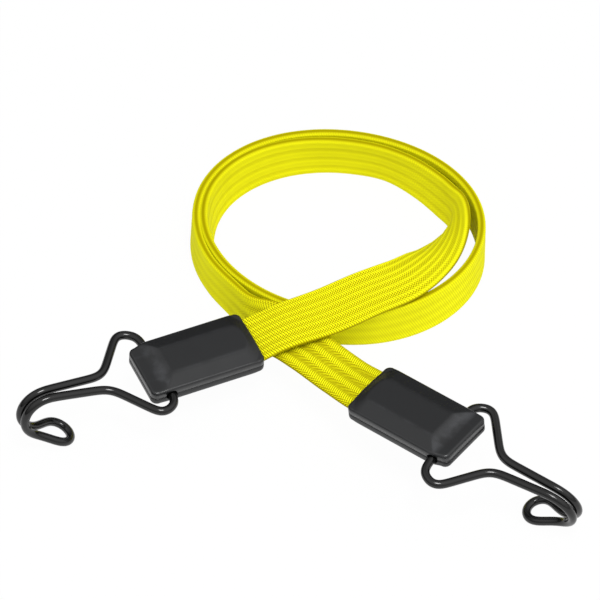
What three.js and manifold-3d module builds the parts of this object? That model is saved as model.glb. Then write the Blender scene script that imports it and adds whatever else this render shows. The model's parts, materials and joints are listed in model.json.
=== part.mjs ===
// A flat bungee cord: a woven elastic strap that lies in two loops on its edge, a moulded clamp on each
// end of it, and a bent-wire hook that swings in each clamp. Millimetres, +Z up, standing on Z = 0.
import * as THREE from 'three';
import { ConvexGeometry } from 'three/addons/geometries/ConvexGeometry.js';
import { mergeVertices } from 'three/addons/utils/BufferGeometryUtils.js';
import Module from 'manifold-3d';

const wasm = await Module();
wasm.setup();

// Driving dimensions: what pieces share
const seatGap = 0.3; // play between pieces that seat on each other

// Driving dimensions: strap
const strapWidth = 18;
const strapThickness = 2;
const strapEdgeRound = 0.8;
const sleeveWall = 0.35;
const coreCount = 4;
const coreSpacing = 0.5; // room between neighbouring rubber cores
const strapInsert = 22; // length of strap held inside each clamp

// Driving dimensions: clamp shells
const clampLength = 39.4;
const clampSideWall = 1.7; // beside the strap
const clampRoof = 2.2; // over the strap's pocket
const clampCorner = 2.2; // corner radius in plan
const taperLength = 6; // the hook end narrows over this length
const taperInset = 1.1; // by this much on each side
const facetRise = 1.4; // how far the sloped facets climb above the rim
const facetWidth = 5.6; // long-side facets
const mouthSlope = 3; // facet over the strap's mouth
const plateauCorner = 3.4;
const bevelStart = 8.8; // the plateau ends this far from the hook end
const bevelEnd = 4.2; // and its bevel ends this far from it
const ledgeDrop = 1.3; // the ledge over the hook's pivot lies this far under the plateau
const toothHeight = 0.5;
const toothWidth = 1.4;
const toothCount = 5;
const toothPitch = 4;
const pegRadius = 0.95;
const pegHeight = 1.1;
const pegSpread = 6.6; // distance of the pegs from the clamp's middle line
const partingGap = 0.3; // seam between the two shells

// Driving dimensions: wire hook
const wireDiameter = 2.8;
const wirePlay = 0.25; // between the wire and its channel
const wireEndGap = 2; // between the two ends of the wire inside the clamp
const pivotInset = 6.4; // pivot to the clamp's hook end
const pivotSlack = 8; // degrees that the hook can sit askew in its slots
const armKnee = 3.9; // the arms leave the pivot's line this far beside the clamp
const armBulge = 6.9; // how far the arms bow out beside the clamp
const armReach = 5.8;
const armBend = 2.3;
const neckReach = 17.4;
const neckHalfGap = 3.1;
const neckBend = 6;
const runReach = 37;
const runHalfGap = 1.75;
const runRise = 1.4;
const bendRadius = 8.2;
const bendTurn = 163; // degrees
const returnLength = 7.5;
const tipHalfWidth = 4.4;

// How the cord lies: each clamp's mouth, the clamp's turn, tilt and roll, and its hook's swing,
// its skew, and the sideways lean of the hook's run and of its bend
const ends = {
  left: {
    mouth: [-15.4, -22.9, 15.9], yaw: 205.1, tilt: 2.6, roll: -1.7,
    swing: 3.6, skew: 1, lean: -3.1, curl: 1.5,
  },
  right: {
    mouth: [21.3, -48.0, 20.5], yaw: -39.6, tilt: 5.0, roll: 2.1,
    swing: -11.6, skew: 7.2, lean: -1, curl: 15.5,
  },
};

// Strap route from the left clamp's mouth to the loops: x, y, z and roll in degrees. Roll 0 lies flat.
const leadIn = [
  [-4.6, -19.6, 19.6, -3],
  [8.8, -13.8, 20.6, -2],
  [21.5, -6.6, 20.8, 0],
  [33.8, 0.3, 20.1, -1.8],
  [41.7, 10.0, 17.8, 11.2],
  [47.3, 22.0, 14.4, 34.1],
  [50.2, 31.7, 12.2, 56.4],
  [50.8, 40.2, 10.8, 82.0],
  [46.9, 47.0, 9.4, 85.4],
  [38.4, 55.9, 9.3, 91.1],
];

// And from the loops to the right clamp's mouth. Roll 180 lies flat with the other face up.
const leadOut = [
  [-21.6, 0.8, 9.3, 89],
  [-15.6, -7.2, 9.3, 98],
  [-9.8, -14.4, 9.3, 125],
  [-1.2, -19.3, 12.4, 162],
  [6.4, -28.8, 14.8, 176],
  [13.4, -38.8, 17.8, 182],
];

// The loops stand on edge: an oval, fuller on one side, that grows outwards by one layer each turn
const loopCentre = [14.8, 27.7];
const loopHalfLength = 43.65;
const loopHalfDepth = 37.15;
const loopSkew = -14.7; // degrees
const loopFullness = 0.048;
const loopFullSide = 155; // degrees
const layerPitch = 3.6;
const loopStart = 84; // degrees
const loopStepsPerTurn = 24;
const loopSteps = 33;
const loopLift = 0.25;
const loopLean = 8; // degrees that the loops' upper edge leans to the front
const loopLeanSide = 105; // degrees: where on the loops that lean is full

// Sizes that follow from the driving ones
const clampWidth = strapWidth + 2 * (seatGap + clampSideWall);
const pocketHeight = strapThickness / 2 + seatGap + toothHeight;
const shellHeight = pocketHeight + clampRoof;
const rimHeight = shellHeight - facetRise;
const pivotX = clampLength - pivotInset;
const wireRadius = wireDiameter / 2;
const pivotHalfSpan = clampWidth / 2;
const skewTravel = pivotHalfSpan * Math.tan(THREE.MathUtils.degToRad(pivotSlack));
const channelHalfLength = wireRadius / Math.cos(THREE.MathUtils.degToRad(pivotSlack)) + skewTravel + wirePlay;
const channelHeight = wireRadius + wirePlay;
const pocketLength = strapInsert + seatGap;

const black = { color: 0x2b2c2e, metalness: 0 };
const finishes = {
  weave: new THREE.MeshStandardMaterial({ color: 0xe6e010, roughness: 0.75, metalness: 0 }),
  rubber: new THREE.MeshStandardMaterial({ color: 0xd8c9a0, roughness: 0.85, metalness: 0 }),
  clamp: new THREE.MeshStandardMaterial({ ...black, roughness: 0.5 }),
  wire: new THREE.MeshStandardMaterial({ color: 0x121214, roughness: 0.25, metalness: 0 }),
};

// Solids

/** The closed solid of a geometry whose shared corners are merged. */
function solidOf(geometry) {
  const bare = geometry.index ? geometry.toNonIndexed() : geometry.clone();
  bare.deleteAttribute('normal');
  bare.deleteAttribute('uv');
  const merged = mergeVertices(bare, 1e-4);
  return new wasm.Manifold(new wasm.Mesh({
    numProp: 3,
    vertProperties: new Float32Array(merged.attributes.position.array),
    triVerts: new Uint32Array(merged.index.array),
  }));
}

/** The geometry of a solid. */
function geometryOf(solid) {
  const mesh = solid.getMesh();
  const geometry = new THREE.BufferGeometry();
  geometry.setAttribute('position', new THREE.BufferAttribute(mesh.vertProperties, 3));
  geometry.setIndex(new THREE.BufferAttribute(mesh.triVerts, 1));
  geometry.computeVertexNormals();
  return geometry;
}

/** A box between two corners. */
function boxSolid(low, high) {
  const size = high.map((value, axis) => value - low[axis]);
  const box = new THREE.BoxGeometry(...size);
  box.translate(...low.map((value, axis) => value + size[axis] / 2));
  return solidOf(box);
}

/** An upright cylinder on a given foot. */
function pegSolid(x, y, foot, radius, height) {
  const peg = new THREE.CylinderGeometry(radius, radius, height, 10);
  peg.rotateX(Math.PI / 2);
  peg.translate(x, y, foot + height / 2);
  return solidOf(peg);
}

/** Skins a row of rings of points into one closed solid. Rings of a bore have as many points as the outer ones. */
function skinRings(rings, boreRings = null) {
  const positions = [];
  const triangles = [];
  const addRing = (ring) => {
    const first = positions.length / 3;
    ring.forEach((point) => positions.push(point.x, point.y, point.z));
    return first;
  };
  const addWall = (row, inward) => {
    const firsts = row.map(addRing);
    const count = row[0].length;
    for (let step = 0; step + 1 < row.length; step += 1) {
      for (let side = 0; side < count; side += 1) {
        const a = firsts[step] + side;
        const b = firsts[step] + ((side + 1) % count);
        const c = firsts[step + 1] + side;
        const d = firsts[step + 1] + ((side + 1) % count);
        triangles.push(...(inward ? [a, c, b, b, c, d] : [a, b, c, b, d, c]));
      }
    }
    return firsts;
  };
  const outerFirsts = addWall(rings, false);
  const boreFirsts = boreRings ? addWall(boreRings, true) : null;
  const addCap = (step, atStart) => {
    const first = outerFirsts[step];
    const count = rings[step].length;
    const faces = [];
    for (let side = 0; side < count; side += 1) {
      const next = (side + 1) % count;
      if (boreFirsts) {
        const bore = boreFirsts[step];
        faces.push([first + side, first + next, bore + side], [first + next, bore + next, bore + side]);
      } else if (side > 0 && next > 0) {
        faces.push([first, first + side, first + next]);
      }
    }
    faces.forEach(([a, b, c]) => triangles.push(...(atStart ? [a, c, b] : [a, b, c])));
  };
  addCap(0, true);
  addCap(rings.length - 1, false);
  const geometry = new THREE.BufferGeometry();
  geometry.setAttribute('position', new THREE.Float32BufferAttribute(positions, 3));
  geometry.setIndex(triangles);
  geometry.computeVertexNormals();
  return geometry;
}

// Clamp shells

/** A rounded rectangle's points at one height. Its high end is narrower by an inset on each side. */
function roundedOutline(low, high, halfWidth, lowRadius, highRadius, inset, height) {
  const highHalf = halfWidth - inset;
  const shape = new THREE.Shape();
  shape.absarc(high - highRadius, highHalf - highRadius, highRadius, 0, Math.PI / 2);
  shape.lineTo(high - taperLength, halfWidth);
  shape.absarc(low + lowRadius, halfWidth - lowRadius, lowRadius, Math.PI / 2, Math.PI);
  shape.absarc(low + lowRadius, lowRadius - halfWidth, lowRadius, Math.PI, 1.5 * Math.PI);
  shape.lineTo(high - taperLength, -halfWidth);
  shape.absarc(high - highRadius, highRadius - highHalf, highRadius, 1.5 * Math.PI, 2 * Math.PI);
  return shape.getPoints(4).map((point) => new THREE.Vector3(point.x, point.y, height));
}

/** The scoop that lowers the hook end: a bevel off the plateau that runs out into a flat ledge. */
function hookEndScoop() {
  const ledge = shellHeight - ledgeDrop;
  const overhang = 1;
  const profile = new THREE.Shape();
  profile.moveTo(clampLength - bevelStart, shellHeight);
  profile.quadraticCurveTo(clampLength - bevelEnd - 1, ledge, clampLength - bevelEnd + 1, ledge);
  profile.lineTo(clampLength + overhang, ledge);
  profile.lineTo(clampLength + overhang, shellHeight + overhang);
  profile.lineTo(clampLength - bevelStart, shellHeight + overhang);
  profile.closePath();
  const width = clampWidth + 2 * overhang;
  const scoop = new THREE.ExtrudeGeometry(profile, { depth: width, bevelEnabled: false, curveSegments: 5 });
  scoop.rotateX(Math.PI / 2);
  scoop.translate(0, width / 2, 0);
  return solidOf(scoop);
}

/** One half of a clamp. Its twin is the same moulding turned over, so its pegs meet the twin's sockets. */
function clampShell() {
  const foot = partingGap / 2;
  const half = clampWidth / 2;
  const form = new ConvexGeometry([
    ...roundedOutline(0, clampLength, half, clampCorner, clampCorner, taperInset, foot),
    ...roundedOutline(0, clampLength, half, clampCorner, clampCorner, taperInset, rimHeight),
    ...roundedOutline(mouthSlope, clampLength, half - facetWidth, plateauCorner, clampCorner, 0, shellHeight),
  ]);
  const below = -1;
  const pocketHalf = strapWidth / 2 + seatGap;
  let shell = solidOf(form).subtract(hookEndScoop());
  shell = shell.subtract(boxSolid([-1, -pocketHalf, below], [pocketLength, pocketHalf, pocketHeight]));
  const toothRoot = pocketHeight + 0.2;
  for (let tooth = 0; tooth < toothCount; tooth += 1) {
    const x = toothWidth + tooth * toothPitch;
    const low = [x, -pocketHalf - 0.2, pocketHeight - toothHeight];
    shell = shell.add(boxSolid(low, [x + toothWidth, pocketHalf + 0.2, toothRoot]));
  }
  shell = shell.subtract(boxSolid(
    [pivotX - channelHalfLength, -half - 1, below],
    [pivotX + channelHalfLength, half + 1, channelHeight],
  ));
  const webX = (pocketLength + pivotX - channelHalfLength) / 2;
  const socketDepth = pegHeight + seatGap;
  shell = shell.add(pegSolid(webX, pegSpread, foot - pegHeight, pegRadius, pegHeight + 0.5));
  shell = shell.subtract(pegSolid(webX, -pegSpread, below, pegRadius + seatGap, socketDepth + foot - below));
  return geometryOf(shell);
}

// Wire hook

/** A run of straights whose inner corners are rounded. */
function roundedRun(corners, radii, steps) {
  const points = [corners[0]];
  for (let index = 1; index + 1 < corners.length; index += 1) {
    const corner = corners[index];
    const back = new THREE.Vector3().subVectors(corners[index - 1], corner);
    const ahead = new THREE.Vector3().subVectors(corners[index + 1], corner);
    const setback = radii[index] / Math.tan(back.angleTo(ahead) / 2);
    const start = corner.clone().addScaledVector(back.normalize(), setback);
    const end = corner.clone().addScaledVector(ahead.normalize(), setback);
    points.push(...new THREE.QuadraticBezierCurve3(start, corner, end).getPoints(steps));
  }
  points.push(corners[corners.length - 1]);
  return points;
}

/** The wire's middle line on one side, from its end in the clamp to the middle of the hook's tip. */
function hookHalfLine() {
  const corners = [
    new THREE.Vector3(0, wireEndGap / 2, 0),
    new THREE.Vector3(0, pivotHalfSpan + armKnee, 0),
    new THREE.Vector3(armReach, pivotHalfSpan + armBulge, 0),
    new THREE.Vector3(neckReach, neckHalfGap, 0),
    new THREE.Vector3(runReach, runHalfGap, runRise),
  ];
  const points = roundedRun(corners, [0, armBend, armBend, neckBend, 0], 4);
  const run = new THREE.Vector2(runReach - neckReach, runRise).normalize();
  const inward = new THREE.Vector2(run.y, -run.x);
  const centre = new THREE.Vector2(runReach, runRise).addScaledVector(inward, bendRadius);
  const turn = THREE.MathUtils.degToRad(bendTurn);
  const bendSteps = 9;
  const place = (flat, half) => points.push(new THREE.Vector3(flat.x, half, flat.y));
  const bendPoint = (angle) => centre.clone()
    .addScaledVector(run, bendRadius * Math.sin(angle))
    .addScaledVector(inward, -bendRadius * Math.cos(angle));
  for (let step = 1; step <= bendSteps; step += 1) place(bendPoint(turn * step / bendSteps), runHalfGap);
  const heel = bendPoint(turn);
  const back = run.clone().multiplyScalar(Math.cos(turn)).addScaledVector(inward, Math.sin(turn));
  const tipSteps = 5;
  for (let step = 0; step <= tipSteps; step += 1) {
    const angle = 0.5 * Math.PI * step / tipSteps;
    const reach = returnLength + tipHalfWidth * Math.sin(angle);
    place(heel.clone().addScaledVector(back, reach), tipHalfWidth * Math.cos(angle));
  }
  return points;
}

/** The hook: one wire, bent to two mirrored arms that meet in the tip, and leant to one side. */
function hookGeometry(lean, curl) {
  const half = hookHalfLine();
  const mirrored = half.slice(0, -1).reverse().map((point) => new THREE.Vector3(point.x, -point.y, point.z));
  const line = [...half, ...mirrored];
  const alongLean = Math.tan(THREE.MathUtils.degToRad(lean));
  const downLean = Math.tan(THREE.MathUtils.degToRad(curl));
  line.forEach((point) => {
    point.y += alongLean * point.x - downLean * point.z;
  });
  const sides = 8;
  let sideways = new THREE.Vector3(0, 0, 1);
  const rings = line.map((point, index) => {
    const before = line[Math.max(index - 1, 0)];
    const after = line[Math.min(index + 1, line.length - 1)];
    const inDirection = new THREE.Vector3().subVectors(point, before).normalize();
    const outDirection = new THREE.Vector3().subVectors(after, point).normalize();
    const tangent = inDirection.add(outDirection).normalize();
    sideways = sideways.clone().addScaledVector(tangent, -sideways.dot(tangent)).normalize();
    const upward = new THREE.Vector3().crossVectors(tangent, sideways);
    return Array.from({ length: sides }, (_, side) => {
      const angle = 2 * Math.PI * (side + 0.5) / sides;
      return point.clone()
        .addScaledVector(sideways, wireRadius * Math.cos(angle))
        .addScaledVector(upward, wireRadius * Math.sin(angle));
    });
  });
  return skinRings(rings);
}

// Strap

/** The loops' middle line: points on the growing oval, standing on edge. */
function loopPoints() {
  const skew = THREE.MathUtils.degToRad(loopSkew);
  return Array.from({ length: loopSteps + 1 }, (_, step) => {
    const turned = 2 * Math.PI * step / loopStepsPerTurn;
    const angle = THREE.MathUtils.degToRad(loopStart) + turned;
    const growth = layerPitch * turned / (2 * Math.PI);
    const fullness = 1 + loopFullness * Math.cos(angle - THREE.MathUtils.degToRad(loopFullSide));
    const x = (loopHalfLength * fullness + growth) * Math.cos(angle);
    const y = (loopHalfDepth * fullness + growth) * Math.sin(angle);
    return [
      loopCentre[0] + x * Math.cos(skew) - y * Math.sin(skew),
      loopCentre[1] + x * Math.sin(skew) + y * Math.cos(skew),
      strapWidth / 2 + loopLift,
      90 + loopLean * Math.cos(angle - THREE.MathUtils.degToRad(loopLeanSide)),
    ];
  });
}

/** Stations along the strap: a place, and the directions across it and through it. */
function strapStations(clamps) {
  const inClamp = (clamp, x) => clamp.localToWorld(new THREE.Vector3(x, 0, 0)).toArray();
  const inset = [strapInsert, strapInsert / 2, strapInsert / 8, 0];
  const route = [
    ...inset.map((x) => [...inClamp(clamps.left, x), 0]),
    ...leadIn,
    ...loopPoints(),
    ...leadOut,
    ...inset.toReversed().map((x) => [...inClamp(clamps.right, x), 180]),
  ];
  const places = new THREE.CatmullRomCurve3(route.map((row) => new THREE.Vector3(...row)), false, 'catmullrom');
  const rolls = new THREE.CatmullRomCurve3(route.map((row) => new THREE.Vector3(row[3], 0, 0)), false, 'catmullrom');
  const spans = route.length - 1;
  const firstLoop = inset.length + leadIn.length;
  const lastLoop = firstLoop + loopSteps;
  const marks = [];
  for (let span = 0; span < spans; span += 1) {
    const inLead = span >= inset.length - 1 && span < firstLoop || span >= lastLoop;
    const pieces = inLead ? 3 : 1;
    for (let piece = 0; piece < pieces; piece += 1) marks.push((span + piece / pieces) / spans);
  }
  marks.push(1);
  const up = new THREE.Vector3(0, 0, 1);
  const ownAxes = (clamp, roll) => {
    const sign = roll === 0 ? 1 : -1;
    const axes = [0, 1, 2].map((column) => new THREE.Vector3().setFromMatrixColumn(clamp.matrixWorld, column));
    return { tangent: axes[0].multiplyScalar(-sign), across: axes[1], through: axes[2].multiplyScalar(-sign) };
  };
  return marks.map((mark) => {
    const place = places.getPoint(mark);
    const atLeft = mark * spans <= inset.length - 1;
    const atRight = mark * spans >= spans - inset.length + 1;
    if (atLeft) return { place, ...ownAxes(clamps.left, 0) };
    if (atRight) return { place, ...ownAxes(clamps.right, 180) };
    const tangent = places.getTangent(mark);
    const right = new THREE.Vector3().crossVectors(tangent, up).normalize();
    const upright = new THREE.Vector3().crossVectors(right, tangent);
    const roll = THREE.MathUtils.degToRad(rolls.getPoint(mark).x);
    const across = right.multiplyScalar(Math.cos(roll)).addScaledVector(upright, Math.sin(roll));
    return { place, tangent, across, through: new THREE.Vector3().crossVectors(tangent, across) };
  });
}

/** A flat section, with rounded edges where a radius is given, its broad faces divided into columns. */
function flatSection(width, thickness, round, columns, offset = 0) {
  const flatHalf = width / 2 - round;
  const columnsAt = Array.from({ length: columns + 1 }, (_, index) => flatHalf * (2 * index / columns - 1));
  const half = thickness / 2;
  const rounded = round > 0 ? [[width / 2, half - round]] : [];
  const section = [
    ...columnsAt.map((x) => [x, -half]),
    ...rounded.map(([x, y]) => [x, -y]),
    ...rounded,
    ...columnsAt.toReversed().map((x) => [x, half]),
    ...rounded.map(([x, y]) => [-x, y]),
    ...rounded.map(([x, y]) => [-x, -y]),
  ];
  return section.map(([x, y]) => [x + offset, y]);
}

/** A section carried along the strap's stations. */
function strapRings(stations, section) {
  return stations.map(({ place, across, through }) => section.map(([x, y]) => place.clone()
    .addScaledVector(across, x)
    .addScaledVector(through, y)));
}

/** Least gap of the strap to itself, on the points of its rings that are far apart along it. */
function leastGap(rings) {
  const farApart = 5;
  let least = Infinity;
  for (let one = 0; one < rings.length; one += 1) {
    for (let two = one + farApart; two < rings.length; two += 1) {
      for (const point of rings[one]) {
        for (const other of rings[two]) least = Math.min(least, point.distanceTo(other));
      }
    }
  }
  return least;
}

// Assembly

const cord = new THREE.Group();
const hardware = new THREE.Group();
cord.add(hardware);

/** Adds one named piece to a group. */
function addPiece(group, name, geometry, finish) {
  const piece = new THREE.Mesh(geometry, finish);
  piece.name = name;
  group.add(piece);
  return piece;
}

const shellGeometry = clampShell();
const clamps = {};
const radians = THREE.MathUtils.degToRad;
for (const [side, lie] of Object.entries(ends)) {
  const clamp = new THREE.Group();
  clamp.position.set(...lie.mouth);
  clamp.rotation.set(radians(lie.roll), -radians(lie.tilt), radians(lie.yaw), 'ZYX');
  addPiece(clamp, `${side}_clamp_upper_shell`, shellGeometry, finishes.clamp);
  addPiece(clamp, `${side}_clamp_lower_shell`, shellGeometry, finishes.clamp).rotation.x = Math.PI;
  const hook = addPiece(clamp, `${side}_wire_hook`, hookGeometry(lie.lean, lie.curl), finishes.wire);
  hook.position.x = pivotX;
  hook.rotation.set(0, -radians(lie.swing), radians(lie.skew), 'ZYX');
  hardware.add(clamp);
  clamps[side] = clamp;
}
cord.updateMatrixWorld(true);

const stations = strapStations(clamps);
const boreWidth = strapWidth - 2 * sleeveWall;
const boreThickness = strapThickness - 2 * sleeveWall;
const boreRound = Math.max(strapEdgeRound - sleeveWall, 0.1);
const sleeveRings = strapRings(stations, flatSection(strapWidth, strapThickness, strapEdgeRound, coreCount));
const boreRings = strapRings(stations, flatSection(boreWidth, boreThickness, boreRound, coreCount));
addPiece(cord, 'strap_sleeve', skinRings(sleeveRings, boreRings), finishes.weave);
console.log(`least gap of the strap to itself: ${leastGap(sleeveRings).toFixed(2)} mm`);

const coreThickness = boreThickness - 2 * seatGap;
const coreWidth = (boreWidth - 2 * seatGap - (coreCount - 1) * coreSpacing) / coreCount;
for (let core = 0; core < coreCount; core += 1) {
  const offset = (core - (coreCount - 1) / 2) * (coreWidth + coreSpacing);
  const section = flatSection(coreWidth, coreThickness, 0, 1, offset);
  addPiece(cord, `rubber_core_${core + 1}`, skinRings(strapRings(stations, section)), finishes.rubber);
}

// The origin lies under the middle of the clamps and hooks, on what the cord lies on
const hardwareBox = new THREE.Box3().setFromObject(hardware, true);
const middle = hardwareBox.getCenter(new THREE.Vector3());
cord.position.set(-middle.x, -middle.y, -hardwareBox.min.z);
const part = new THREE.Group();
part.add(cord);

export default part;
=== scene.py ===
# A flat bungee cord: a woven elastic strap that lies in two loops, with a moulded clamp and a bent-wire hook
# on each end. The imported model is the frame, and every piece stands where its solid does. Metres, +Z up.
import json

import bpy
import numpy as np
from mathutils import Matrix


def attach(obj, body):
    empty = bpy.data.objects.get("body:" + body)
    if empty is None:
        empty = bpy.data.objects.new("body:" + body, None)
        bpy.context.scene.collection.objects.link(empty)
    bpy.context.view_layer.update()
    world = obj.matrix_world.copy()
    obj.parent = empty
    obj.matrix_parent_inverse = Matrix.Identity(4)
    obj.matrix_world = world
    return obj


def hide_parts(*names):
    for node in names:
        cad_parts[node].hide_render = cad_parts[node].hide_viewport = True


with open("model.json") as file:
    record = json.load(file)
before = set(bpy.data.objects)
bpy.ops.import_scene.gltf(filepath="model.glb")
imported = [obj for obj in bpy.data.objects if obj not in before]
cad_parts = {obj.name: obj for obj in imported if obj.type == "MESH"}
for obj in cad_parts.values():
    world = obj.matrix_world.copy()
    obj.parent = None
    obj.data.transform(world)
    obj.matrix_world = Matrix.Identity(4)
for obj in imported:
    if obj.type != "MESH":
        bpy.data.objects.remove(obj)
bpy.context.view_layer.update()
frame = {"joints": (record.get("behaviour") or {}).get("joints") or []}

# The camera
# It stands in front of the cord and looks down on it with a long lens, so that near and far parts keep
# about the same scale. The picture is square.
mm = 0.001
aim = np.array([1.245, 54.386, 9.755]) * mm
camera_height = np.radians(48.1)
camera_distance = 1300 * mm
film_width = 36
focal_length = 239.46

lens = bpy.data.cameras.new("camera")
lens.sensor_width = film_width
lens.lens = focal_length
camera = bpy.data.objects.new("camera", lens)
camera.location = aim + camera_distance * np.array([0, -np.cos(camera_height), np.sin(camera_height)])
camera.rotation_euler = (np.pi / 2 - camera_height, 0, 0)
bpy.context.scene.collection.objects.link(camera)
bpy.context.scene.camera = camera
bpy.context.scene.view_settings.view_transform = "Standard"

# The strap
# One length of yellow elastic: a sleeve woven of polyester yarn over four flat strips of rubber. It leaves
# the left clamp, crosses its own loops, lies in them on edge, and is clamped in the right clamp turned over.
strap_width = 18 * mm
strap_insert = 22 * mm
strap_steps = 9
held_shares = np.array([1, 1 / 2, 1 / 8, 0])  # the knots inside a clamp, as shares of the insert
pivot_along = 33 * mm  # from a clamp's mouth to its hook's pivot
clamp_lie = {
    "left": {"mouth": (-15.4, -22.9, 15.9), "yaw": 205.1, "tilt": 2.6, "roll": -1.7},
    "right": {"mouth": (21.3, -48.0, 20.5), "yaw": -39.6, "tilt": 5.0, "roll": 2.1},
}

# The route's points: x, y, z and roll in degrees. Roll 0 lies flat, and 180 lies flat with the other face up.
lead_in = np.array([
    (-4.6, -19.6, 19.6, -3),
    (8.8, -13.8, 20.0, -7),
    (21.5, -6.6, 20.2, -6),
    (33.4, 0.0, 20.1, -1.5),
    (42.0, 10.0, 17.7, 12.5),
    (47.6, 21.3, 14.2, 36.5),
    (50.8, 31.1, 12.1, 60.5),
    (51.5, 39.6, 10.2, 84.5),
    (46.9, 47.3, 9.3, 86.5),
    (38.9, 55.5, 9.4, 91.1),
]) * (mm, mm, mm, 1)
lead_out = np.array([
    (-21.6, 0.8, 9.3, 89),
    (-15.6, -7.2, 9.4, 98),
    (-9.4, -13.1, 10.9, 124),
    (-3.9, -19.2, 13.5, 170),
    (3.8, -28.2, 15.9, 180),
    (13.5, -39.1, 17.7, 180.4),
]) * (mm, mm, mm, 1)

# The loops between them: the oval, its growth, and its leans in degrees
loop_centre = np.array([15.0, 27.65]) * mm
loop_half_length = 43.65 * mm
loop_half_depth = 37.15 * mm
loop_skew = np.radians(-14.7)
loop_fullness = 0.048
loop_full_side = np.radians(155)
loop_start = np.radians(84)
loop_steps_per_turn = 24
loop_steps = 33
loop_lift = 0.25 * mm
layer_pitch = 3.9 * mm
loop_swells = 3
loop_swell = 0.45 * mm
loop_swell_side = np.radians(35)
loop_lean = 8
loop_lean_side = np.radians(105)
loop_close_inner = 7.5
loop_close_outer = 3
loop_right_lean = 3.5
loop_right_side = np.radians(330)

# The relief of the two faces, drawn tight and slack
rib_places = np.array([0.04, 0.15, 0.30, 0.42, 0.56, 0.68, 0.83, 0.95])
rib_width = 0.46 * mm
rib_height = 0.24 * mm
rib_ground = 0.78 * mm
lobe_count = 4
lobe_height = 0.42 * mm
lobe_ground = 0.66 * mm
slack_ribs = 0.3
slack_lobes = 0.18
slack_ground = 0.5 * mm
slack_swell = 0.12 * mm
edge_round = 0.9 * mm
face_columns = 88
edge_columns = 4
relief_knots = 11  # the relief is slack from this knot after the left clamp
thread_knots = 9  # and the threads from this one
tail_knots = 9.5  # both start to tighten this many knots before the strap's end
pull_knots = 4  # over this many knots

# The yarn's colours, and the painted light and shade on its relief, from 0 to 1: light on the ribs and lobes,
# painted shade in the grooves between them
yarn_bright = "FFFE1A"
# The deeper, warmer yellow is painted shade in the grooves between the ribs and lobes
yarn_shade = "8E7900"
# The olive is painted shade on the strap's rounded edges
yarn_edge_shade = "A69A00"
edge_shade_below = 0.25  # an edge is olive where its ease is below this
edge_fade = 0.5
yarn_light = 0.13
relief_light = 0.75
patch_light = 0.16
patch_scale = 0.06
rib_face_light = 0.36
rib_face_gain = 0.62
slack_rib_light = {"even": 0.26, "lobes": 0.24, "ribs": 0.22}
slack_lobe_light = {"even": 0.7, "lobes": 0.14}
lobe_light_power = 1.4
rope_thread = {"slant": 25, "pitch": 0.76, "wander": 0.3}
ground_thread = {"slant": -50, "pitch": 0.62, "wander": 0.8}
thread_slack = 0.35
thread_tight = 1.5
thread_height = 0.12 * mm
thread_strength = 0.5
thread_roughness = -0.15
yarn_roughness = 0.75
yarn_specular = 0.02


def turned(yaw, pitch, roll):
    """The turn that rolls about X, then pitches about Y, then yaws about Z, in degrees, as a matrix."""
    a, b, c = np.radians([yaw, pitch, roll])
    about_z = np.array([[np.cos(a), -np.sin(a), 0], [np.sin(a), np.cos(a), 0], [0, 0, 1]])
    about_y = np.array([[np.cos(b), 0, np.sin(b)], [0, 1, 0], [-np.sin(b), 0, np.cos(b)]])
    about_x = np.array([[1, 0, 0], [0, np.cos(c), -np.sin(c)], [0, np.sin(c), np.cos(c)]])
    return about_z @ about_y @ about_x


def unit(rows):
    """Rows of numbers, each divided by its length."""
    return rows / np.linalg.norm(rows, axis=-1, keepdims=True)


def smoothed(share):
    """A share from 0 to 1 that starts and ends gently: three times its square less twice its cube."""
    return share * share * (3 - 2 * share)


def smooth_line(knots, steps):
    """A line through rows of numbers: on each span a cubic whose slope at a knot is half the step between
    the knots on both sides of it. Past the first and last knot, the step next to it is repeated."""
    rows = np.vstack([2 * knots[0] - knots[1], knots, 2 * knots[-1] - knots[-2]])
    a, b, c, d = (rows[k:len(rows) - 3 + k, None, :] for k in range(4))
    t = (np.arange(steps) / steps)[None, :, None]
    spans = b + 0.5 * t * (c - a + t * (2 * a - 5 * b + 4 * c - d + t * (3 * (b - c) + d - a)))
    return np.vstack([spans.reshape(-1, knots.shape[1]), knots[-1]])


def loop_knots():
    """Points of the loops with their roll. Each half axis is multiplied by the fullness, has the growth
    added, and is multiplied by the cosine or sine of the angle; the oval is then turned by its skew. The
    growth is one layer a turn, with slight swells. The strap stands on edge with a lean that follows a
    cosine. On the left the two layers lean together by a squared cosine, and on the right the strap is
    righted by a cosine to the fourth power."""
    turn = 2 * np.pi * np.arange(loop_steps + 1) / loop_steps_per_turn
    angle = loop_start + turn
    swells = loop_swell * np.cos(loop_swells * (angle - loop_swell_side))
    growth = layer_pitch * turn / (2 * np.pi) + swells
    fullness = 1 + loop_fullness * np.cos(angle - loop_full_side)
    closing = np.where(turn > np.pi, loop_close_outer, -loop_close_inner)
    closing = closing * np.clip(-np.cos(angle), 0, 1) ** 2
    righted = loop_right_lean * np.clip(np.cos(angle - loop_right_side), 0, 1) ** 4
    x = (loop_half_length * fullness + growth) * np.cos(angle)
    y = (loop_half_depth * fullness + growth) * np.sin(angle)
    return np.stack([
        loop_centre[0] + x * np.cos(loop_skew) - y * np.sin(loop_skew),
        loop_centre[1] + x * np.sin(loop_skew) + y * np.cos(loop_skew),
        np.full(len(turn), strap_width / 2 + loop_lift),
        90 + loop_lean * np.cos(angle - loop_lean_side) + closing + righted,
    ], axis=1)


def held_knots(side, along, roll):
    """Knots of the strap inside a clamp, at distances from its mouth along the clamp's own direction."""
    places = clamp_mouth[side] - to_part + along[:, None] * clamp_turn[side][:, 0]
    return np.column_stack([places, np.full(len(along), roll)])


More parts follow.
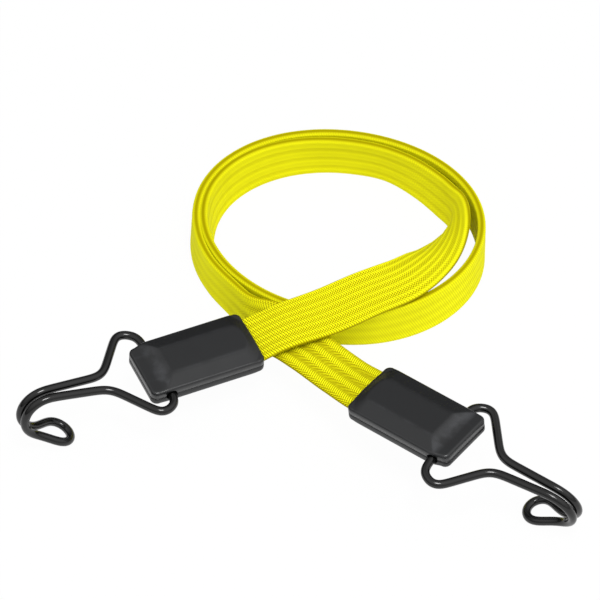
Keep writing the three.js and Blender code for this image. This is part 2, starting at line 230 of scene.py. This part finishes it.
def strap_stations():
    """The strap's middle line from clamp to clamp, with the directions across it and through it. Right of the
    line is its direction times up, and across is right turned by the roll; inside a clamp, across is the
    clamp's own, and it changes over one span outside it."""
    inset = strap_insert * held_shares
    left, right = held_knots("left", inset, 0), held_knots("right", inset[::-1], 180)
    rows = smooth_line(np.vstack([left, lead_in, loop_knots(), lead_out, right]), strap_steps)
    line = rows[:, :3] + to_part
    forward = unit(np.gradient(line, axis=0))
    beside = unit(np.cross(forward, (0, 0, 1)))
    upright = np.cross(beside, forward)
    roll = np.radians(rows[:, 3:])
    across = beside * np.cos(roll) + upright * np.sin(roll)
    station = np.arange(len(line)) / strap_steps
    held_spans = len(inset) - 1
    for side, away in (("left", station - held_spans), ("right", station[-1] - held_spans - station)):
        share = smoothed(np.clip(1 - away, 0, 1)[:, None])
        across = across + share * (clamp_turn[side][:, 1] - across)
    across = unit(across - forward * (across * forward).sum(axis=1, keepdims=True))
    return line, across, np.cross(forward, across)


def strap_pull(rings, left_knots):
    """How tight the strap is drawn at each ring, from 0 to 1: full at the clamps and none in the loops, from
    the given knot after the left clamp."""
    knot = np.arange(rings) / strap_steps
    left = np.clip((left_knots - knot) / pull_knots, 0, 1)
    right = np.clip((knot - knot[-1] + tail_knots) / pull_knots, 0, 1)
    return smoothed(np.maximum(left, right))[:, None]


def strap_section():
    """Columns across the strap: their places, how round the edges are as a quarter oval from 0 to 1, and the
    relief of the faces from 0 to 1. One face has narrow ribs in pairs, a bell curve each; both have four
    lobes, the square of a sine."""
    flat = strap_width / 2 - edge_round
    angle = np.radians(90 * (np.arange(edge_columns) + 0.5) / edge_columns)
    place = np.concatenate([
        -flat - edge_round * np.cos(angle),
        np.linspace(-flat, flat, face_columns),
        (flat + edge_round * np.cos(angle))[::-1],
    ])
    ease = np.concatenate([np.sin(angle), np.ones(face_columns), np.sin(angle)[::-1]])
    share = np.clip(place, -flat, flat) / strap_width + 0.5
    ribs = np.exp(-((share[:, None] - rib_places) * strap_width / rib_width) ** 2).sum(axis=1)
    lobes = np.sin(np.pi * lobe_count * share) ** 2
    return place, ease, ribs, lobes


def strap_relief(pull, ease, ribs, lobes):
    """Distances of the ribbed and the lobed face from the strap's middle: each is the ease times a ground and
    its relief. The relief is full where the strap is drawn tight, and slack it is low on a thicker ground."""
    slack = 1 - pull
    rib_rise = (slack_ribs + (1 - slack_ribs) * pull) * rib_height * ribs
    lobe_rise = (slack_lobes + (1 - slack_lobes) * pull) * lobe_height * lobes
    ribbed = -ease * (rib_ground + rib_rise + slack * (slack_ground + slack_swell * lobes))
    lobed = ease * (lobe_ground + slack * slack_ground + lobe_rise)
    return ribbed, lobed


def strap_shading(pull, ribs, lobes):
    """Painted light and shade on the ribbed and on the lobed face: drawn tight it is light on the ribs or on
    a power of the lobes with painted shade between them, and slack it is nearly even, with a little of each."""
    even = slack_rib_light["even"] + slack_rib_light["lobes"] * lobes + slack_rib_light["ribs"] * ribs
    ribbed = rib_face_light + rib_face_gain * (pull * ribs + (1 - pull) * even)
    even = slack_lobe_light["even"] + slack_lobe_light["lobes"] * lobes
    lobed = pull * lobes ** lobe_light_power + (1 - pull) * even
    return ribbed, lobed


def skinned(rings, sides):
    """Four-sided faces of a closed skin over rings of points: between neighbouring rings a face joins two
    points of one to the same two of the next, and each end is closed from one half of its ring to the
    other half."""
    ring, side = np.meshgrid(np.arange(rings - 1) * sides, np.arange(sides), indexing="ij")
    after = (side + 1) % sides
    wall = np.stack([ring + side, ring + after, ring + sides + after, ring + sides + side], axis=-1)
    rung = np.arange(sides // 2 - 1)
    cap = np.stack([rung, sides - 1 - rung, sides - 2 - rung, rung + 1], axis=-1)
    return np.concatenate([wall.reshape(-1, 4), cap, cap[:, ::-1] + (rings - 1) * sides])


def new_piece(name, points, faces, **values):
    """An object at the origin with the given points and faces, shaded smooth, and one number at each point
    for each name given."""
    mesh = bpy.data.meshes.new(name)
    mesh.from_pydata(points.reshape(-1, 3), [], faces)
    mesh.shade_smooth()
    for key, value in values.items():
        layer = mesh.attributes.new(key, "FLOAT", "POINT")
        layer.data.foreach_set("value", np.ascontiguousarray(value, np.float32).ravel())
    piece = bpy.data.objects.new(name, mesh)
    bpy.context.scene.collection.objects.link(piece)
    return piece


def paint(code):
    """A colour written as six hex digits, as linear red, green, blue and alpha."""
    value = np.array([int(code[k:k + 2], 16) for k in (0, 2, 4)]) / 255
    linear = np.where(value <= 0.04045, value / 12.92, ((value + 0.055) / 1.055) ** 2.4)
    return (*linear, 1.0)


def node(tree, kind, inputs=None, **settings):
    """A new shader node with its settings; an input that is a socket is linked, any other is a value."""
    made = tree.nodes.new("ShaderNode" + kind)
    for key, value in settings.items():
        setattr(made, key, value)
    for key, value in (inputs or {}).items():
        if isinstance(value, bpy.types.NodeSocket):
            tree.links.new(value, made.inputs[key])
        else:
            made.inputs[key].default_value = value
    return made


def new_finish(name):
    """A material with nodes, its tree and its Principled shader."""
    finish = bpy.data.materials.new(name)
    finish.use_nodes = True
    return finish, finish.node_tree, finish.node_tree.nodes["Principled BSDF"]


def mixed(tree, share, first, second):
    """The colour between two colours, at a share of the way from the first to the second."""
    return node(tree, "Mix", {0: share, 6: first, 7: second}, data_type="RGBA").outputs[2]


def sums(tree, operation, first, second=0.0, third=0.0):
    """The result of one Math node."""
    return node(tree, "Math", {0: first, 1: second, 2: third}, operation=operation).outputs[0]


def noise(tree, place, scale, detail):
    """Smooth noise from 0 to 1, with a number of finer layers."""
    return node(tree, "TexNoise", {"Vector": place, "Scale": scale, "Detail": detail}).outputs["Fac"]


def point_value(tree, name):
    """The number that a mesh holds at each point under a name."""
    return node(tree, "Attribute", attribute_name=name).outputs["Fac"]


def lift(tree, shader, height, strength, distance):
    """A surface lifted by a height from 0 to 1, through a Bump node on the shader's normal."""
    bump = node(tree, "Bump", {"Height": height, "Strength": strength, "Distance": distance})
    tree.links.new(bump.outputs[0], shader.inputs["Normal"])


def yarn_waves(tree, slant, pitch, wander):
    """Threads that run over the strap at a slant: a sine across them, on the strap's own map in millimetres.
    A Wave node's bands lie a tenth of twice pi apart at scale 1."""
    place = node(tree, "UVMap", uv_map="weave").outputs[0]
    lie = node(tree, "Mapping", {"Vector": place, "Rotation": (0, 0, np.radians(slant))}).outputs[0]
    inputs = {"Vector": lie, "Scale": np.pi / 10 / pitch, "Distortion": wander}
    inputs |= {"Detail": 1.0, "Detail Scale": 1.5}
    return node(tree, "TexWave", inputs, bands_direction="X").outputs["Fac"]


def woven_finish():
    """Woven yellow yarn with painted light and shade: rope-like ribs painted bright, painted shade in deeper
    yellow between them, finer threads at the other slant on the ground, and edges painted in olive shade. The
    threads show most where the strap is drawn tight, and lift it."""
    finish, tree, shader = new_finish("woven_yarn")
    rib, face, pull = (point_value(tree, name) for name in ("rib", "face", "pull"))
    rope = yarn_waves(tree, **rope_thread)
    ground = yarn_waves(tree, **ground_thread)
    thread = node(tree, "Mix", {0: rib, 2: ground, 3: rope}, data_type="FLOAT").outputs[0]
    place = node(tree, "UVMap", uv_map="weave").outputs[0]
    patches = noise(tree, place, patch_scale, 3.0)
    # The yarn runs from painted shade to painted light with the relief, with random patches of tone
    lightness = sums(tree, "MULTIPLY_ADD", rib, relief_light, yarn_light)
    lightness = sums(tree, "MULTIPLY_ADD", patches, patch_light, lightness)
    shown = sums(tree, "MULTIPLY_ADD", pull, thread_tight, thread_slack)
    contrast = sums(tree, "MULTIPLY", sums(tree, "SUBTRACT", thread, 0.5), shown)
    yarn = mixed(tree, sums(tree, "ADD", lightness, contrast), paint(yarn_shade), paint(yarn_bright))
    # The rounded edges are painted in olive shade
    tree.links.new(mixed(tree, face, paint(yarn_edge_shade), yarn), shader.inputs["Base Color"])
    roughness = sums(tree, "MULTIPLY_ADD", thread, thread_roughness, yarn_roughness)
    tree.links.new(roughness, shader.inputs["Roughness"])
    lift(tree, shader, sums(tree, "MULTIPLY", thread, shown), thread_strength, thread_height)
    shader.inputs["Specular IOR Level"].default_value = yarn_specular
    return finish


# The route is written from an origin of its own, which is moved so that the left pivot is at its hinge
hinge = {joint["child"]: np.array(joint["pos_m"]) for joint in frame["joints"]}
clamp_turn = {side: turned(lie["yaw"], -lie["tilt"], lie["roll"]) for side, lie in clamp_lie.items()}
left_pivot = np.array(clamp_lie["left"]["mouth"]) * mm + clamp_turn["left"][:, 0] * pivot_along
to_part = hinge["left_hook"] - left_pivot
clamp_mouth = {side: np.array(lie["mouth"]) * mm + to_part for side, lie in clamp_lie.items()}

strap_line, strap_across, strap_through = strap_stations()
strap_rings = len(strap_line)
pull = strap_pull(strap_rings, relief_knots)
place, ease, ribs, lobes = strap_section()
ribbed, lobed = strap_relief(pull, ease, ribs, lobes)
# Painted light and shade that follow the relief of both faces
ribbed_light, lobed_shading = strap_shading(pull, ribs, lobes)
across = np.concatenate([place, place[::-1]])
round_section = np.concatenate([ease, ease[::-1]])
through = np.concatenate([ribbed, lobed[:, ::-1]], axis=1)
strap_sides = len(across)
strap = new_piece(
    "strap",
    strap_line[:, None, :]
    + across[None, :, None] * strap_across[:, None, :]
    + through[:, :, None] * strap_through[:, None, :],
    skinned(strap_rings, strap_sides),
    rib=np.concatenate([ribbed_light, lobed_shading[:, ::-1]], axis=1),
    face=np.tile(np.clip((round_section - edge_shade_below) / edge_fade, 0, 1), strap_rings),
    pull=np.repeat(strap_pull(strap_rings, thread_knots), strap_sides),
)

# The weave's own map, in millimetres: along the strap, and round its section
strap_run = np.concatenate([[0], np.cumsum(np.linalg.norm(np.diff(strap_line, axis=0), axis=1))])
section_run = np.concatenate([place, 2 * place[-1] - place[::-1]])
corners = np.empty(len(strap.data.loops), np.int32)
strap.data.loops.foreach_get("vertex_index", corners)
weave_map = np.column_stack([strap_run[corners // strap_sides], section_run[corners % strap_sides]]) / mm
strap.data.uv_layers.new(name="weave").data.foreach_set("uv", weave_map.astype(np.float32).ravel())
strap.data.materials.append(woven_finish())
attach(strap, "strap_and_clamps")
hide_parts("strap_sleeve", *(f"rubber_core_{core}" for core in range(1, 5)))

# The clamps
# Each is two halves of one black moulding, closed over the strap's end and the ends of the hook's wire, with
# a parting line round its side. Facets fall from a plateau to the rim, and a hollow bevel to a ledge.
clamp_length = 39.4 * mm
clamp_half_width = 11 * mm
clamp_corner = 2.2 * mm
taper_length = 6 * mm
taper_inset = 1.1 * mm
shell_height = 4.0 * mm
facet_rise = 1.4 * mm
facet_width = 5.6 * mm
mouth_slope = 3 * mm
plateau_ease = 0.8
bevel_start = 8.8 * mm
bevel_end = 4.2 * mm
bevel_ease = 1 * mm
ledge_drop = 1.3 * mm
crease_round = 0.25 * mm
# Painted highlight with some real wear: the creases, the rim and the hollow bevel are lightened towards the
# worn colour, in patches
crease_highlight = 1.5
rim_round = 0.9 * mm
rim_angles = np.radians([18, 36, 54, 72, 90])
rim_highlight = [0.05, 0.05, 0.1, 0.1, 0.05, 0.05]
foot_round = 0.12 * mm
parting = 0.1 * mm
pocket_height = 1.2 * mm
pocket_half_width = 9.2 * mm
pocket_length = 22.3 * mm
pocket_edge = 0.05 * mm
slot_half_length = 1.8 * mm
slot_height = 1.65 * mm
slot_squareness = 2.6
shell_rows = 150
shell_columns = 84
hook_skew = {"left": 1.0, "right": 7.2}  # degrees that each hook sits askew in its slots
wear_start = 0.42
wear_full = 0.62
# The moulding's lighter worn colour is wear and painted highlight on the clamps' creases, rim and bevel
plastic_look = {
    "black": "141517",
    "worn_and_highlit": "333437",
    "grain_scale": 3200,
    "grain_strength": 0.35,
    "grain_height": 0.03 * mm,
    "cloud_scale": 160,
    "roughness": 0.26,
    "cloud_roughness": 0.12,
    "wear_roughness": -0.08,
    "specular": 0.6,
}


def soft_low(first, second, reach):
    """The lower of two heights, rounded where they cross within the given reach."""
    share = np.clip(0.5 + 0.5 * (second - first) / reach, 0, 1)
    return second + share * (first - second) - reach * share * (1 - share)


def shell_top(x, y):
    """Height of a shell's outside, and its painted highlight with wear from 0 to 1. It is the lower of a roof
    and a hollow bevel. The roof is the plateau less its rise times the way out to the rim, measured in facet
    widths and rounded at the corners. The bevel is a parabola from the plateau down to a ledge. A crease gets
    painted highlight with some wear by what its rounding takes off, and the bevel painted light with some
    scuffing by a sine of the way down it."""
    beside = (np.abs(y) - clamp_half_width + facet_width) / facet_width + plateau_ease
    before = (mouth_slope - x) / mouth_slope + plateau_ease
    out = np.hypot(np.maximum(beside, 0), np.maximum(before, 0)) - plateau_ease
    facets = shell_height - facet_rise * np.minimum(out, 1)
    roof = soft_low(facets, shell_height, crease_round)
    start = clamp_length - bevel_start
    control = clamp_length - bevel_end - bevel_ease
    foot = clamp_length - bevel_end + bevel_ease
    lead, slack = 2 * (control - start), 2 * control - start - foot
    way = (lead - np.sqrt(lead ** 2 - 4 * slack * np.clip(x - start, 0, foot - start))) / (2 * slack)
    rise = np.maximum(start - x, 0) * ledge_drop / (control - start)
    bevel = shell_height - ledge_drop + ledge_drop * (1 - way) ** 2 + rise
    top = soft_low(roof, bevel, crease_round)
    cut = np.maximum(np.minimum(facets, shell_height) - roof, np.minimum(roof, bevel) - top)
    bevel_highlight = np.sin(np.pi * np.clip(way, 0, 1)) * (bevel < roof)
    return top, np.clip(crease_highlight * cut / crease_round + bevel_highlight, 0, 1)


def shell_foot(x, y, skew):
    """Height of a shell's underside: the parting plane, with a pocket for the strap and a round-topped slot
    across the whole shell for the wire, askew as the wire is."""
    pocket = (np.abs(y) < pocket_half_width) & (x < pocket_length)
    beside = np.abs(x - pivot_along + y * np.tan(np.radians(skew))) / slot_half_length
    arch = np.clip(1 - beside ** slot_squareness, 0, 1) ** (1 / slot_squareness)
    return np.maximum(np.where(pocket, pocket_height, parting), parting + (slot_height - parting) * arch)


def in_plan(s, t, inset, taper_side):
    """A unit square laid into the clamp's outline, drawn in by an inset: the square is stretched to a
    rectangle whose hook end narrows on one side, and each corner's square becomes a quarter disc."""
    radius = clamp_corner - inset
    x = inset + s * (clamp_length - 2 * inset)
    narrowed = np.clip((x - clamp_length + taper_length) / (taper_length - clamp_corner), 0, 1)
    half_width = clamp_half_width - inset - taper_inset * narrowed * (taper_side * (2 * t - 1) > 0)
    y = (2 * t - 1) * half_width
    centre_x = np.clip(x, inset + radius, clamp_length - inset - radius)
    centre_y = np.clip(y, radius - half_width, half_width - radius)
    u, v = (x - centre_x) / radius, (y - centre_y) / radius
    return centre_x + radius * u * np.sqrt(1 - v * v / 2), centre_y + radius * v * np.sqrt(1 - u * u / 2)


def shell_skin(skew, taper_side):
    """One shell as points, faces, and wear with painted highlight: its top and its underside are grids over
    the outline, and rows of points round the outline join them, first over the rounded rim and then down the
    wall. The grids have a line close on each side of the pocket's edges."""
    both_sides = np.array([-pocket_edge, pocket_edge])
    pocket_end = (pocket_length + both_sides) / clamp_length
    pocket_side = (pocket_half_width + both_sides) / clamp_half_width / 2
    s = np.unique(np.concatenate([np.linspace(0, 1, shell_rows), pocket_end]))
    t = np.unique(np.concatenate([np.linspace(0, 1, shell_columns), 0.5 + pocket_side, 0.5 - pocket_side]))
    grid_s, grid_t = np.meshgrid(s, t, indexing="ij")
    number = np.arange(grid_s.size).reshape(grid_s.shape)
    quads = np.stack([number[:-1, :-1], number[1:, :-1], number[1:, 1:], number[:-1, 1:]], axis=-1)
    quads = quads.reshape(-1, 4)
    rim = np.concatenate([number[:-1, 0], number[-1, :-1], number[:0:-1, -1], number[0, :0:-1]])
    rim_s, rim_t = grid_s.ravel()[rim], grid_t.ravel()[rim]
    x, y = in_plan(grid_s, grid_t, rim_round, taper_side)
    top, worn_and_highlit = shell_top(x, y)
    roof = np.stack([x, y, top], axis=-1).reshape(-1, 3)
    x, y = in_plan(grid_s, grid_t, foot_round, taper_side)
    under = np.stack([x, y, shell_foot(x, y, skew)], axis=-1).reshape(-1, 3)
    rows = []
    for angle in rim_angles:
        x, y = in_plan(rim_s, rim_t, rim_round * (1 - np.sin(angle)), taper_side)
        rows.append(np.column_stack([x, y, roof[rim, 2] - rim_round * (1 - np.cos(angle))]))
    x, y = in_plan(rim_s, rim_t, 0, taper_side)
    rows.append(np.column_stack([x, y, under[rim, 2] + foot_round]))
    rings = [len(roof) + len(rim) * row + np.arange(len(rim)) for row in range(len(rows))]
    below = len(roof) + len(rim) * len(rows)
    loops = [rim, *rings, below + rim]
    wall = [np.stack([a, b, np.roll(b, -1), np.roll(a, -1)], axis=-1) for a, b in zip(loops, loops[1:])]
    points = np.vstack([roof, *rows, under])
    faces = np.concatenate([quads, *wall, quads[:, ::-1] + below])
    wear_and_highlight = np.concatenate([worn_and_highlit.ravel(), np.repeat(rim_highlight, len(rim)), np.zeros(len(under))])
    return points, faces, wear_and_highlight


def wear_highlight_and_grain():
    """A node group for moulded and dipped surfaces. Grain is fine noise for the height of the surface, Cloud
    is slow noise for the gloss, and Wear And Highlight is the given edge value where the cloud is high: real
    wear on the wire, and wear with painted highlight on the clamps."""
    group = bpy.data.node_groups.new("wear_highlight_and_grain", "ShaderNodeTree")
    for name in ("Edge", "Grain Scale", "Cloud Scale"):
        group.interface.new_socket(name=name, in_out="INPUT", socket_type="NodeSocketFloat")
    for name in ("Wear And Highlight", "Grain", "Cloud"):
        group.interface.new_socket(name=name, in_out="OUTPUT", socket_type="NodeSocketFloat")
    given = group.nodes.new("NodeGroupInput").outputs
    result = group.nodes.new("NodeGroupOutput").inputs
    place = node(group, "TexCoord").outputs["Object"]
    cloud = noise(group, place, given["Cloud Scale"], 4.0)
    rubbed = node(group, "MapRange", {0: cloud, 1: wear_start, 2: wear_full}).outputs[0]
    group.links.new(sums(group, "MULTIPLY", given["Edge"], rubbed), result["Wear And Highlight"])
    group.links.new(noise(group, place, given["Grain Scale"], 3.0), result["Grain"])
    group.links.new(cloud, result["Cloud"])
    return group


def black_finish(name, edge, look):
    """A black surface with a grain. Its colour goes from black to the lighter worn colour with the mesh's own
    edge value: real wear on the wire, and wear with painted highlight on the clamps. Its roughness is a base
    plus a share of the cloud and a share of that value."""
    finish, tree, shader = new_finish(name)
    effect = tree.nodes.new("ShaderNodeGroup")
    effect.node_tree = wear_highlight_group
    effect.inputs["Grain Scale"].default_value = look["grain_scale"]
    effect.inputs["Cloud Scale"].default_value = look["cloud_scale"]
    tree.links.new(point_value(tree, edge), effect.inputs["Edge"])
    wear_and_highlight, grain, cloud = (effect.outputs[key] for key in ("Wear And Highlight", "Grain", "Cloud"))
    colour = mixed(tree, wear_and_highlight, paint(look["black"]), paint(look["worn_and_highlit"]))
    tree.links.new(colour, shader.inputs["Base Color"])
    roughness = sums(tree, "MULTIPLY_ADD", cloud, look["cloud_roughness"], look["roughness"])
    roughness = sums(tree, "MULTIPLY_ADD", wear_and_highlight, look["wear_roughness"], roughness)
    tree.links.new(roughness, shader.inputs["Roughness"])
    lift(tree, shader, grain, look["grain_strength"], look["grain_height"])
    shader.inputs["Specular IOR Level"].default_value = look["specular"]
    return finish


wear_highlight_group = wear_highlight_and_grain()
plastic = black_finish("moulded_plastic", "edge", plastic_look)
for side in ("left", "right"):
    for half, flip in (("upper", 1), ("lower", -1)):
        shell_points, shell_faces, shell_highlight_and_wear = shell_skin(flip * hook_skew[side], -flip)
        points = clamp_mouth[side] + shell_points * (1, flip, flip) @ clamp_turn[side].T
        shell = new_piece(f"{side}_clamp_{half}_half", points, shell_faces, edge=shell_highlight_and_wear)
        shell.data.materials.append(plastic)
        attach(shell, "strap_and_clamps")
        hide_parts(f"{side}_clamp_{half}_shell")

# The hooks
# Each is one steel wire, dipped in gloss black: its two ends turn in the clamp's slots, its arms bow out
# beside the clamp and close to a neck, and the double wire bends over to a hook that ends in a round loop.
wire_radius = 1.43 * mm
wire_sides = 20
wire_step = 0.45 * mm
wire_ease = 4 * mm
wire_ease_rounds = 3
wire_end_gap = 2 * mm
arm_knee = 4.2 * mm
arm_bulge = 7.3 * mm
arm_reach = 5.9 * mm
arm_bend = 2.3 * mm
neck_reach = 17.4 * mm
neck_half_gap = 2.9 * mm
neck_bend = 6 * mm
run_reach = 37 * mm
run_half_gap = 1.75 * mm
run_rise = 1.55 * mm
bend_radius = 8.15 * mm
bend_turn = np.radians(163)
return_length = 7.6 * mm
tip_half_width = 5.1 * mm
corner_steps = 12
bend_steps = 40
tip_steps = 24
rub_start = 0.9

# How each hook lies: its swing, its slide along the pivot, its sideways lean and the curl of its bend
hook_lie = {
    "left": {"swing": 3.6, "slide": -0.7 * mm, "lean": -2.0, "curl": 3.0},
    "right": {"swing": -11.6, "slide": -1.4 * mm, "lean": 2.0, "curl": 13.0},
}
# On the wire the lighter worn colour is real wear where it is rubbed, at the bend and the tip
coating_look = {
    "black": "060606",
    "worn_and_highlit": "141414",
    "grain_scale": 700,
    "grain_strength": 0.25,
    "grain_height": 0.06 * mm,
    "cloud_scale": 260,
    "roughness": 0.1,
    "cloud_roughness": 0.1,
    "wear_roughness": 0.06,
    "specular": 0.5,
}


def rounded_run(corners, radii):
    """A run of straights with each inner corner rounded by a parabola that starts and ends at its setback."""
    t = np.linspace(0, 1, corner_steps + 1)[:, None]
    runs = [corners[:1]]
    for before, corner, after, radius in zip(corners, corners[1:], corners[2:], radii):
        back, ahead = unit(before - corner), unit(after - corner)
        setback = radius / np.tan(np.arccos(back @ ahead) / 2)
        start, end = corner + back * setback, corner + ahead * setback
        runs.append((1 - t) ** 2 * start + 2 * t * (1 - t) * corner + t ** 2 * end)
    return np.vstack([*runs, corners[-1:]])


def eased(line):
    """A line of evenly spaced points, each taken to the mean of the points within a reach, a few times over.
    Past an end the line is carried on by its own half turn about that end."""
    half = int(wire_ease / wire_step / 2)
    for _ in range(wire_ease_rounds):
        longer = np.vstack([2 * line[0] - line[half:0:-1], line, 2 * line[-1] - line[-2:-half - 2:-1]])
        so_far = np.vstack([np.zeros(3), np.cumsum(longer, axis=0)])
        line = (so_far[2 * half + 1:] - so_far[:-2 * half - 1]) / (2 * half + 1)
    return line


def hook_line():
    """The wire's middle line, a direction beside it that never meets the line's own, and how rubbed it is
    from 0 to 1. One half goes from the wire's end along the pivot, round the arm to the neck, along the run,
    round the bend in a circle, back along the return and round a quarter of the tip's circle; the other half
    is its mirror image."""
    corners = np.array([
        (0, wire_end_gap / 2, 0),
        (0, clamp_half_width + arm_knee, 0),
        (arm_reach, clamp_half_width + arm_bulge, 0),
        (neck_reach, neck_half_gap, 0),
        (run_reach, run_half_gap, run_rise),
    ])
    arms = rounded_run(corners, [arm_bend, arm_bend, neck_bend])
    run = unit(np.array([run_reach - neck_reach, 0, run_rise]))
    inward = np.array([run[2], 0, -run[0]])
    sideways = np.array([0, 1, 0])
    centre = np.array([run_reach, 0, run_rise]) + inward * bend_radius
    angle = bend_turn * np.linspace(0, 1, bend_steps + 1)[1:, None]
    bend = centre + bend_radius * (run * np.sin(angle) - inward * np.cos(angle))
    back = run * np.cos(bend_turn) + inward * np.sin(bend_turn)
    angle = np.pi / 2 * np.linspace(0, 1, tip_steps + 1)[:, None]
    tip = bend[-1] + back * (return_length + tip_half_width * np.sin(angle))
    tip = tip + sideways * tip_half_width * np.cos(angle)
    rows = np.vstack([arms, bend + sideways * run_half_gap, tip])
    phase = np.concatenate([np.zeros(len(arms) - 1), np.ones(len(bend) + 1), np.full(len(tip), 2)])
    length = np.concatenate([[0], np.cumsum(np.linalg.norm(np.diff(rows, axis=0), axis=1))])
    at = np.linspace(0, length[-1], int(length[-1] / wire_step) + 1)
    line = np.stack([np.interp(at, length, rows[:, axis]) for axis in range(3)], axis=1)
    phase = np.interp(at, length, phase)[:, None]
    early, late = np.clip(phase, 0, 1) * np.pi / 2, np.clip(phase - 1, 0, 1) * np.pi / 2
    first = np.array([0, 0, 1]) * np.cos(early) + sideways * np.sin(early)
    beside = first * np.cos(late) + np.cross(back, sideways) * np.sin(late)
    mirror = np.array([1, -1, 1])
    rub = np.clip(phase - rub_start, 0, 1)[:, 0]
    return (
        eased(np.vstack([line, line[-2::-1] * mirror])),
        eased(np.vstack([beside, beside[-2::-1] * mirror])),
        np.concatenate([rub, rub[-2::-1]]),
    )


def wire_tube(line, beside):
    """Rings of points round the wire's middle line: each ring is a circle square to the line."""
    forward = unit(np.gradient(line, axis=0))
    beside = unit(beside - forward * (beside * forward).sum(axis=1, keepdims=True))
    over = np.cross(forward, beside)
    angle = (2 * np.pi * (np.arange(wire_sides) + 0.5) / wire_sides)[None, :, None]
    circle = beside[:, None, :] * np.cos(angle) + over[:, None, :] * np.sin(angle)
    return line[:, None, :] + wire_radius * circle


coating = black_finish("dipped_coating", "rub", coating_look)
wire_line, wire_beside, wire_rub = hook_line()
for side, lie in hook_lie.items():
    slant = np.tan(np.radians([lie["lean"], 0, -lie["curl"]]))
    leant_line = wire_line + (lie["slide"] + wire_line @ slant)[:, None] * (0, 1, 0)
    hook_turn = clamp_turn[side] @ turned(hook_skew[side], -lie["swing"], 0)
    points = hinge[f"{side}_hook"] + wire_tube(leant_line, wire_beside).reshape(-1, 3) @ hook_turn.T
    faces = skinned(len(wire_line), wire_sides)
    hook = new_piece(f"{side}_hook_wire", points, faces, rub=np.repeat(wire_rub, wire_sides))
    hook.data.materials.append(coating)
    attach(hook, f"{side}_hook")
    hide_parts(f"{side}_wire_hook")

# The table and the light
# A broad white table fills the picture and keeps a trace of the cord's shadow. A soft lamp hangs over the
# camera, and the room is bright in front, above and on both sides, and dim behind the cord.
table_half = 10.0
table_white = "F4F4F4"
table_roughness = 0.9
table_glow = 0.97
lamp_place = np.array([0.15, -0.42, 1.1])
lamp_size = 0.35
lamp_power = 6.5
room_side = (0.25, -0.35, 0.9)
room_dim_below = -0.06
room_bright = 0.87
room_wings = 0.9

corners = np.array([(-1, -1, 0), (1, -1, 0), (1, 1, 0), (-1, 1, 0)], float) * table_half
table = new_piece("table", corners, np.array([[0, 1, 2, 3]]))
white, tree, shader = new_finish("white_table")
shader.inputs["Base Color"].default_value = paint(table_white)
shader.inputs["Roughness"].default_value = table_roughness
path = node(tree, "LightPath").outputs
seen = sums(tree, "MAXIMUM", path["Is Camera Ray"], path["Is Glossy Ray"])
seen = sums(tree, "MAXIMUM", seen, path["Is Transmission Ray"])
glow = node(tree, "Emission", {"Color": (1, 1, 1, 1), "Strength": 1.0}).outputs[0]
share = sums(tree, "MULTIPLY", seen, table_glow)
blend = node(tree, "MixShader", {0: share, 1: shader.outputs[0], 2: glow}).outputs[0]
tree.links.new(blend, tree.nodes["Material Output"].inputs["Surface"])
table.data.materials.append(white)

lamp_data = bpy.data.lights.new("lamp", "AREA")
lamp_data.size = lamp_size
lamp_data.energy = lamp_power
lamp = bpy.data.objects.new("lamp", lamp_data)
lamp.location = aim + lamp_place
toward = -unit(lamp_place)
lamp.rotation_euler = (np.arccos(-toward[2]), 0, np.arctan2(toward[1], toward[0]) - np.pi / 2)
bpy.context.scene.collection.objects.link(lamp)

room = bpy.data.worlds.new("room")
bpy.context.scene.world = room
room.use_nodes = True
sky = room.node_tree
direction = node(sky, "TexCoord").outputs["Generated"]
facing = node(sky, "VectorMath", {0: direction, 1: room_side}, operation="DOT_PRODUCT").outputs["Value"]
level = node(sky, "MapRange", {0: facing, 1: room_dim_below, 2: 1.0, 3: 0.0, 4: room_bright}).outputs[0]
parts = node(sky, "SeparateXYZ", {0: direction}).outputs
wings = sums(sky, "MULTIPLY", sums(sky, "ABSOLUTE", parts["X"]), sums(sky, "MAXIMUM", parts["Z"], 0.0))
level = sums(sky, "MULTIPLY_ADD", wings, room_wings, level)
sky.links.new(level, sky.nodes["Background"].inputs["Strength"])
sky.nodes["Background"].inputs["Color"].default_value = (1, 1, 1, 1)
